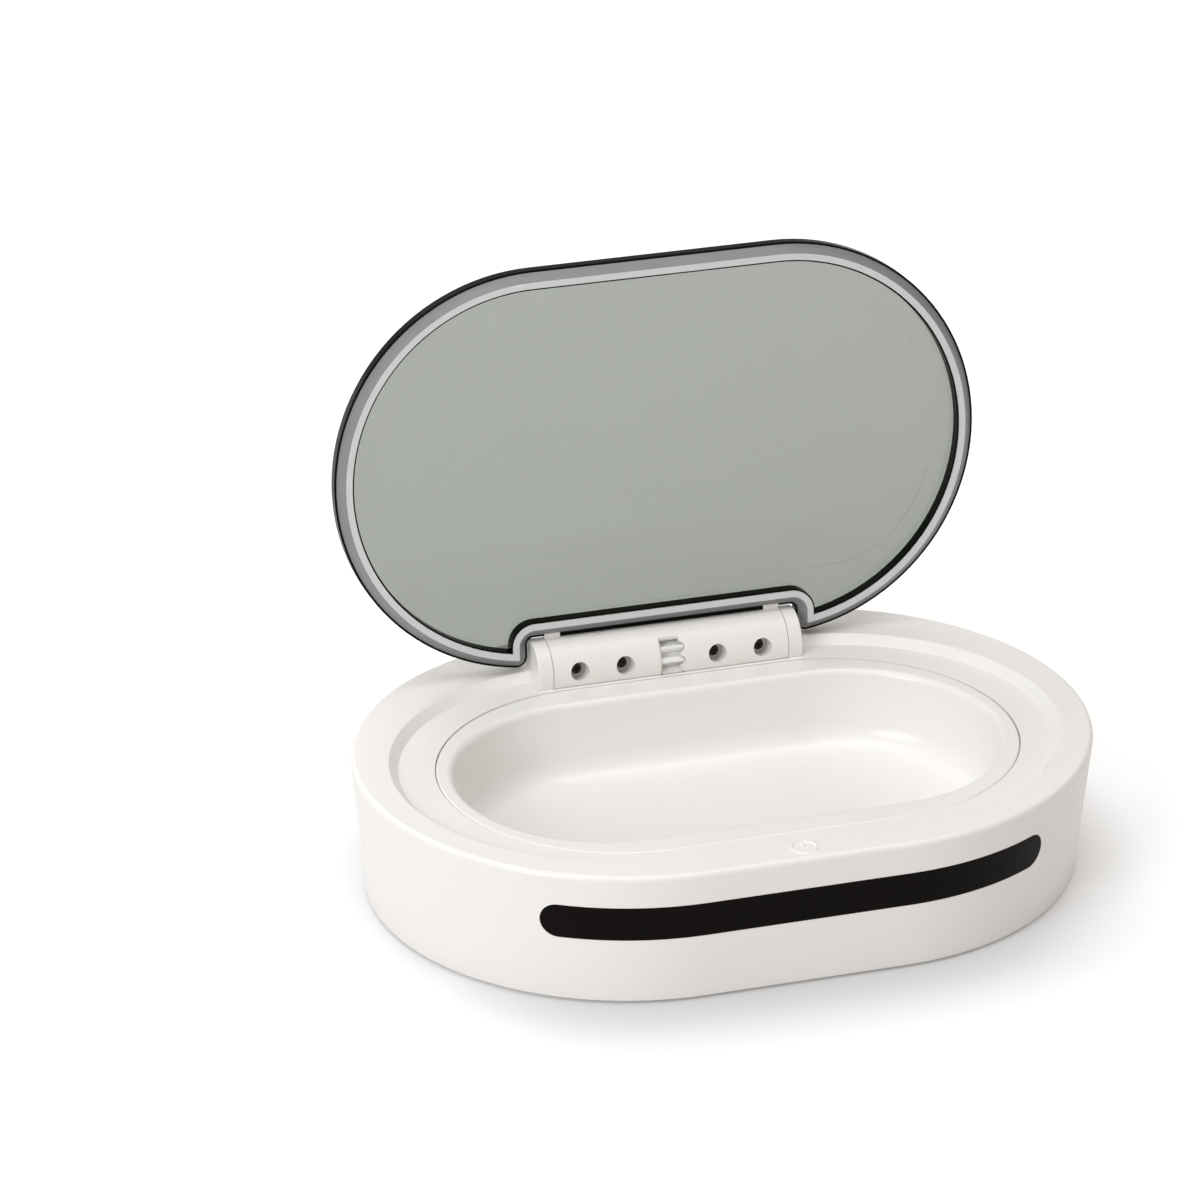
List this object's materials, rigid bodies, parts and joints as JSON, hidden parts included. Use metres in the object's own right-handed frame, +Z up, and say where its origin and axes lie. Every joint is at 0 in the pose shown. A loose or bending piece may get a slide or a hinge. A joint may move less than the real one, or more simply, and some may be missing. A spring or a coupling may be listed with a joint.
{
  "type": "microchip pet feeder",
  "caption": "Low oval pet feeder with a lift-out food bowl, a smoked lid on a motor-driven barrel hinge at the rear and a dark sensor window round the front.",
  "frame": {"origin": "centre of the oval footprint, on the floor", "axes": "+X along the length to the right seen from the front, -Y to the front, +Z up; the lid stands open behind the bowl"},
  "size_m": [0.3296, 0.2396, 0.249],
  "materials": {
    "shell_plastic": "satin white ABS",
    "bowl_plastic": "smooth white, food-safe",
    "hinge_plastic": "satin white ABS",
    "smoked_panel": "clear smoked, polished",
    "seal_rubber": "soft grey silicone",
    "window_plastic": "infrared-clear near-black",
    "cover_plastic": "fine matt texture",
    "gear_plastic": "natural white acetal",
    "foot_rubber": "matt grey",
    "port_plastic": "black",
    "cell_jacket": "blue wrapped cell",
    "board_green": "green board with black parts",
    "coil_copper": "wound copper, varnished",
    "touch_copper": "copper",
    "gearbox_plastic": "black",
    "motor_steel": "plated can",
    "black_steel": "black oxide",
    "steel": "zinc-plated"
  },
  "bodies": {
    "base": {"antenna_coil": "coil_copper", "base_screw_1": "steel", "base_screw_2": "steel", "base_screw_3": "steel", "base_screw_4": "steel", "base_screw_5": "steel", "base_screw_6": "steel", "base_shell": "shell_plastic", "battery_cell_left": "cell_jacket", "battery_cell_right": "cell_jacket", "battery_tray_left": "cover_plastic", "battery_tray_right": "cover_plastic", "bottom_cover": "cover_plastic", "charge_port": "port_plastic", "drive_bracket": "cover_plastic", "foot_1": "foot_rubber", "foot_2": "foot_rubber", "foot_3": "foot_rubber", "foot_4": "foot_rubber", "front_window": "window_plastic", "gearbox": "gearbox_plastic", "hinge_pedestal_left": "hinge_plastic", "hinge_pedestal_right": "hinge_plastic", "main_board": "board_green", "motor": "motor_steel", "sensor_board": "board_green", "touch_pad": "touch_copper"},
    "lid": {"drive_gear": "gear_plastic", "hinge_carrier": "hinge_plastic", "hinge_cover": "hinge_plastic", "hinge_pin_left": "steel", "hinge_pin_right": "steel", "hinge_screw_1": "black_steel", "hinge_screw_2": "black_steel", "hinge_screw_3": "black_steel", "hinge_screw_4": "black_steel", "lid_gasket": "seal_rubber", "lid_panel": "smoked_panel"},
    "bowl": {"food_bowl": "bowl_plastic"},
    "pinion": {"drive_pinion": "gear_plastic", "pinion_shaft": "steel"}
  },
  "joints": [
    {"name": "lid_hinge", "type": "hinge", "parent": "base", "child": "lid", "pos_m": [0, 0.0877, 0.063], "axis": [1, 0, 0], "range_deg": [0, 95]},
    {"name": "pinion_spin", "type": "hinge", "parent": "base", "child": "pinion", "pos_m": [0, 0.0877, 0.04035], "axis": [1, 0, 0], "range_deg": [-103, 0]},
    {"name": "bowl_lift", "type": "slide", "parent": "base", "child": "bowl", "axis": [0, 0, 1], "range_m": [0, 0.06]}
  ],
  "couplings": [
    {"joint": "pinion_spin", "follows": "lid_hinge", "ratio": -1.0833}
  ]
}
